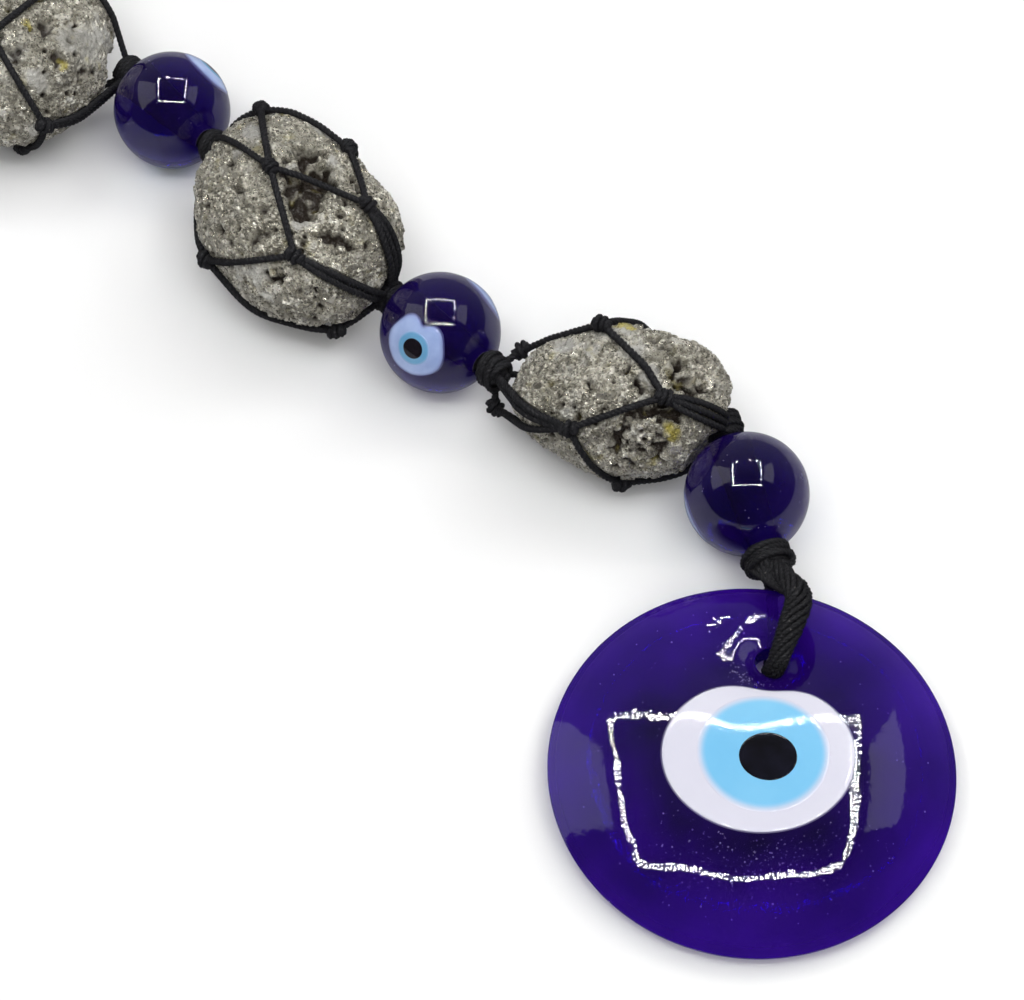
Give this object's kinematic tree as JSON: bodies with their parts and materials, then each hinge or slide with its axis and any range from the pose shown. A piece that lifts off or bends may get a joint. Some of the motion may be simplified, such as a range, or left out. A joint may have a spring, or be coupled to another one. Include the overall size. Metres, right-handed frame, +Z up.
{
  "type": "evil eye hanging ornament",
  "caption": "Hanging charm: netted pyrite lumps alternate with cobalt glass eye beads on black waxed cord, ending in a flat round glass eye pendant.",
  "frame": {"origin": "on the table, under the middle of the laid-out chain without its hanging loop", "axes": "+Z up from the table the ornament lies on, +X towards the pendant end, +Y towards the hanging loop end"},
  "size_m": [0.2355, 0.2023, 0.0273],
  "materials": {
    "cobalt_glass": "polished transparent cobalt glass with fine bubbles",
    "white_glass": "glossy opaque white glass",
    "sky_glass": "glossy opaque sky blue glass",
    "bead_eye_glass": "glossy periwinkle glass",
    "black_glass": "glossy black glass",
    "pyrite": "rough sparkling pyrite crystal crust",
    "waxed_cord": "twisted black waxed cotton"
  },
  "bodies": {
    "stone_1": {"pyrite_lump_1": "pyrite", "net_pouch_1": "waxed_cord"},
    "hanger": {"hanging_loop": "waxed_cord"},
    "core_1": {"bead_1_core_cord": "waxed_cord"},
    "bead_1": {"bead_1_glass": "cobalt_glass", "bead_1_eye_a_white": "bead_eye_glass", "bead_1_eye_a_iris": "bead_eye_glass", "bead_1_eye_a_pupil": "black_glass", "bead_1_eye_b_white": "bead_eye_glass", "bead_1_eye_b_iris": "bead_eye_glass", "bead_1_eye_b_pupil": "black_glass"},
    "core_2": {"bead_2_core_cord": "waxed_cord"},
    "bead_2": {"bead_2_glass": "cobalt_glass", "bead_2_eye_a_white": "bead_eye_glass", "bead_2_eye_a_iris": "bead_eye_glass", "bead_2_eye_a_pupil": "black_glass", "bead_2_eye_b_white": "bead_eye_glass", "bead_2_eye_b_iris": "bead_eye_glass", "bead_2_eye_b_pupil": "black_glass"},
    "stone_2": {"pyrite_lump_2": "pyrite", "net_pouch_2": "waxed_cord"},
    "core_3": {"bead_3_core_cord": "waxed_cord"},
    "bead_3": {"bead_3_glass": "cobalt_glass", "bead_3_eye_a_white": "bead_eye_glass", "bead_3_eye_a_iris": "bead_eye_glass", "bead_3_eye_a_pupil": "black_glass", "bead_3_eye_b_white": "bead_eye_glass", "bead_3_eye_b_iris": "bead_eye_glass", "bead_3_eye_b_pupil": "black_glass"},
    "stone_3": {"pyrite_lump_3": "pyrite", "net_pouch_3": "waxed_cord"},
    "loop": {"pendant_loop": "waxed_cord"},
    "pendant": {"pendant_glass": "cobalt_glass", "pendant_white": "white_glass", "pendant_iris": "sky_glass", "pendant_pupil": "black_glass"}
  },
  "joints": [
    {"name": "hanger_swing", "type": "hinge", "parent": "stone_1", "child": "hanger", "pos_m": [-0.0856, 0.08275, 0.01], "axis": [0, 0, 1], "range_deg": [-35, 35]},
    {"name": "neck_1_upper_bend", "type": "hinge", "parent": "stone_1", "child": "core_1", "pos_m": [-0.04622, 0.06892, 0.0084], "axis": [0, 0, 1], "range_deg": [-4, 24]},
    {"name": "bead_1_spin", "type": "hinge", "parent": "core_1", "child": "bead_1", "pos_m": [-0.0383, 0.05965, 0.01], "axis": [0.644, -0.7539, 0.13], "continuous": true},
    {"name": "neck_1_lower_bend", "type": "hinge", "parent": "core_1", "child": "stone_2", "pos_m": [-0.03038, 0.05038, 0.0116], "axis": [-0.7604, -0.6495, 0], "range_deg": [-20, 20]},
    {"name": "neck_2_upper_bend", "type": "hinge", "parent": "stone_2", "child": "core_2", "pos_m": [-0.00032, 0.02198, 0.0084], "axis": [0, 0, 1], "range_deg": [-16, 24]},
    {"name": "bead_2_spin", "type": "hinge", "parent": "core_2", "child": "bead_2", "pos_m": [0.0084, 0.01345, 0.01], "axis": [0.7086, -0.6936, 0.1301], "continuous": true},
    {"name": "neck_2_lower_bend", "type": "hinge", "parent": "core_2", "child": "stone_3", "pos_m": [0.01711, 0.00492, 0.0116], "axis": [-0.6995, -0.7146, 0], "range_deg": [-20, 20]},
    {"name": "neck_3_upper_bend", "type": "hinge", "parent": "stone_3", "child": "core_3", "pos_m": [0.0544, -0.00571, 0.01098], "axis": [0, 0, 1], "range_deg": [-5, 25]},
    {"name": "bead_3_spin", "type": "hinge", "parent": "core_3", "child": "bead_3", "pos_m": [0.0576, -0.01755, 0.01], "axis": [0.2601, -0.9623, -0.08], "continuous": true},
    {"name": "neck_3_lower_bend", "type": "hinge", "parent": "core_3", "child": "loop", "pos_m": [0.0608, -0.02939, 0.00902], "axis": [-0.9654, -0.2609, 0], "range_deg": [-20, 20]},
    {"name": "pendant_swing", "type": "hinge", "parent": "loop", "child": "pendant", "pos_m": [0.0605, -0.0463, 0.00637], "axis": [0, -0.0558, 0.9984], "range_deg": [-20, 20]}
  ]
}
